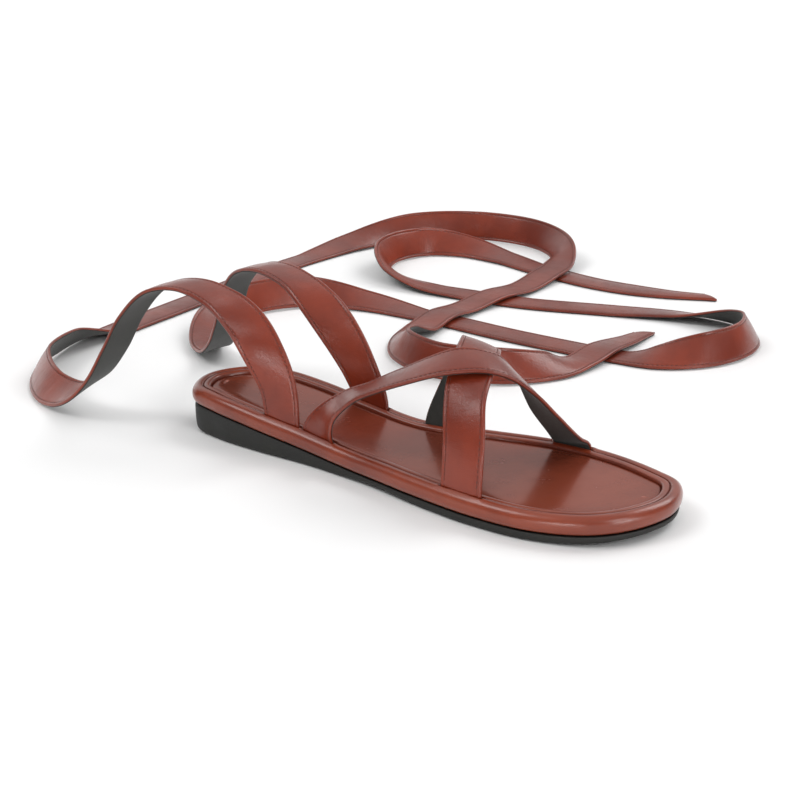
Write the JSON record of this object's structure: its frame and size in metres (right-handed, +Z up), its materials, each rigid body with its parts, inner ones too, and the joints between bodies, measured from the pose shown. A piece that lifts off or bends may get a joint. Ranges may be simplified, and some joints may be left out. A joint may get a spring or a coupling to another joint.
{
  "type": "gladiator sandal",
  "caption": "Right gladiator sandal with a low rubber wedge, a leather-wrapped platform, crossed forefoot straps and long leather leg ties lying loose.",
  "frame": {"origin": "on the floor plane under the middle of the shoe's box, the leg ties left out", "axes": "+X to the toe, +Y to the medial (inner) side, +Z up"},
  "size_m": [0.4176, 0.4391, 0.079],
  "materials": {
    "rubber": "matt black moulded rubber",
    "rim_leather": "polished chestnut leather, folded and stitched",
    "footbed_leather": "satin chestnut leather",
    "strap_leather": "glossy chestnut leather, black lining"
  },
  "bodies": {
    "root": {"outsole": "rubber", "midsole": "rim_leather", "insole": "footbed_leather", "cross_straps": "strap_leather", "tie_lateral": "strap_leather", "tie_medial": "strap_leather"}
  },
  "joints": []
}
